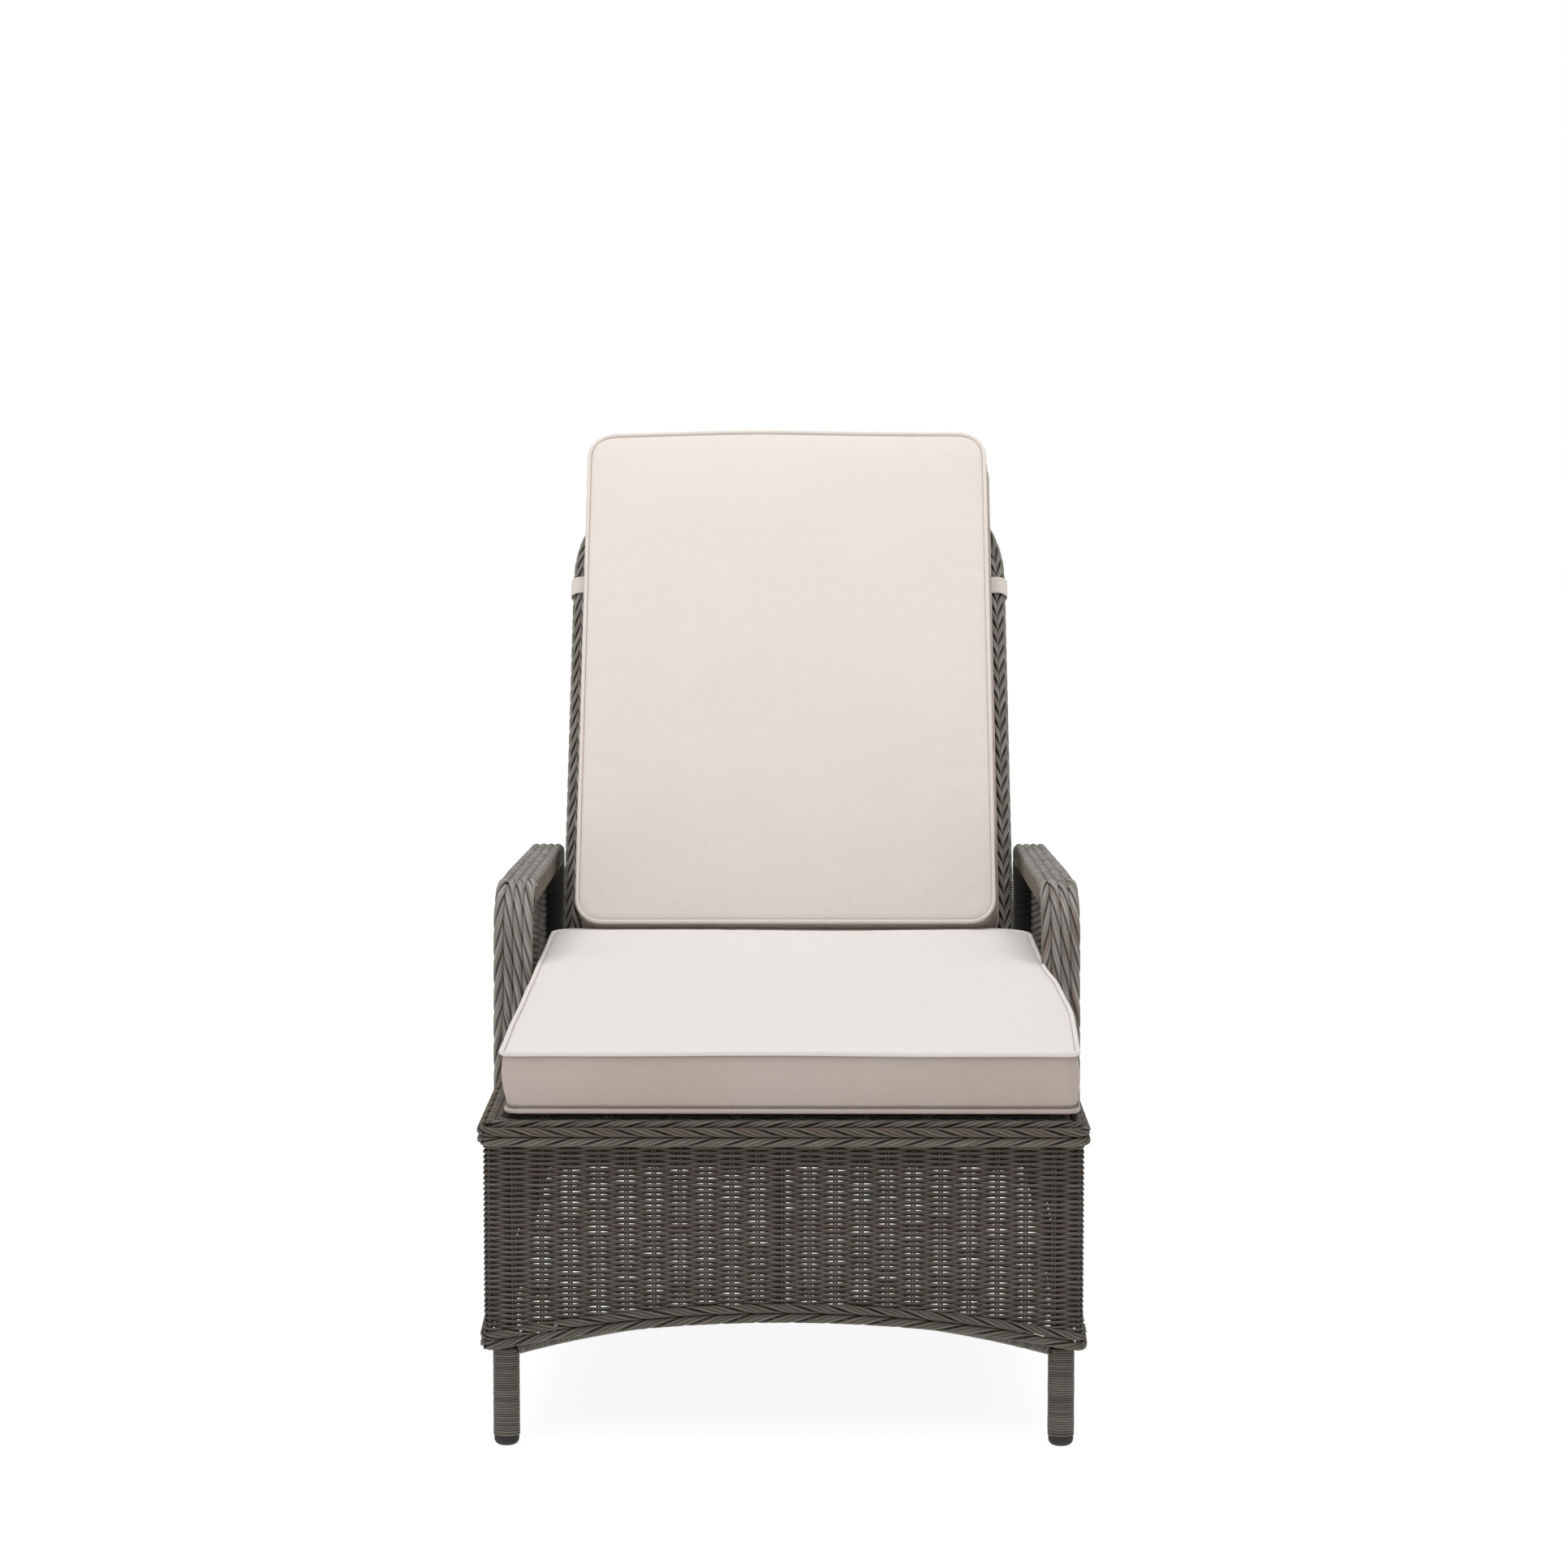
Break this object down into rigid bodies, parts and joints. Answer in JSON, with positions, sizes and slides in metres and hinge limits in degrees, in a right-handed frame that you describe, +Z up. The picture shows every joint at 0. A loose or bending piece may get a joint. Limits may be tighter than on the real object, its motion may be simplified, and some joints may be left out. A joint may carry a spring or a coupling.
{
  "type": "reclining sun lounger",
  "caption": "Woven-sided garden sun lounger with arms, a thick seat cushion and a back cushion strapped to a backrest that reclines on a prop stay.",
  "frame": {"origin": "on the floor under the middle of the base", "axes": "+X to the right of someone lying on it seen from the foot end, +Y from the foot end towards the backrest, +Z up"},
  "size_m": [0.832, 2.201, 1.2318],
  "materials": {
    "rattan": "satin grey-brown synthetic wicker",
    "frame": "dark brown-grey powder coat",
    "cushion": "off-white woven polyester",
    "strap": "cream webbing",
    "foot": "matt black",
    "steel": "zinc plated",
    "bush": "black nylon"
  },
  "bodies": {
    "base": {"leg_wraps": "rattan", "top_border": "rattan", "bottom_border": "rattan", "deck_weave": "rattan", "apron_front": "rattan", "apron_rear": "rattan", "apron_left": "rattan", "apron_right": "rattan", "arm_cover_left": "rattan", "arm_cover_right": "rattan", "arm_panel_left": "rattan", "arm_panel_right": "rattan", "leg_front_left": "frame", "leg_front_right": "frame", "leg_rear_left": "frame", "leg_rear_right": "frame", "side_rail_left": "frame", "side_rail_right": "frame", "front_rail": "frame", "rear_rail": "frame", "lower_rail_front": "frame", "lower_rail_rear": "frame", "lower_rail_left": "frame", "lower_rail_right": "frame", "front_upright": "frame", "arm_frame_left": "frame", "arm_frame_right": "frame", "side_upright_left": "frame", "side_upright_right": "frame", "deck_bar_1": "frame", "deck_bar_2": "frame", "deck_bar_3": "frame", "deck_bar_4": "frame", "hinge_bracket_left": "frame", "hinge_bracket_right": "frame", "rack_bar_front": "frame", "rack_bar_rear": "frame", "rack_left": "frame", "rack_right": "frame", "arm_bolts": "steel", "hinge_pins": "steel", "foot_cap_front_left": "foot", "foot_cap_front_right": "foot", "foot_cap_rear_left": "foot", "foot_cap_rear_right": "foot", "hinge_spacers": "bush", "seat_cushion": "cushion"},
    "backrest": {"backrest_frame": "frame", "backrest_cross_tube": "frame", "backrest_brace": "frame", "hinge_lugs": "frame", "prop_tabs": "frame", "backrest_panel": "rattan", "backrest_braid": "rattan", "prop_rivets": "steel", "back_cushion": "cushion", "strap_left": "strap", "strap_right": "strap"},
    "prop": {"prop_stay": "frame"}
  },
  "joints": [
    {"name": "back_recline", "type": "hinge", "parent": "base", "child": "backrest", "pos_m": [0, 0.1, 0.36], "axis": [-1, 0, 0], "range_deg": [0, 57]},
    {"name": "prop_swing", "type": "hinge", "parent": "backrest", "child": "prop", "pos_m": [0, 0.26339, 0.6116], "axis": [1, 0, 0], "range_deg": [0, 114]}
  ],
  "couplings": [
    {"joint": "prop_swing", "follows": "back_recline", "ratio": 2}
  ]
}
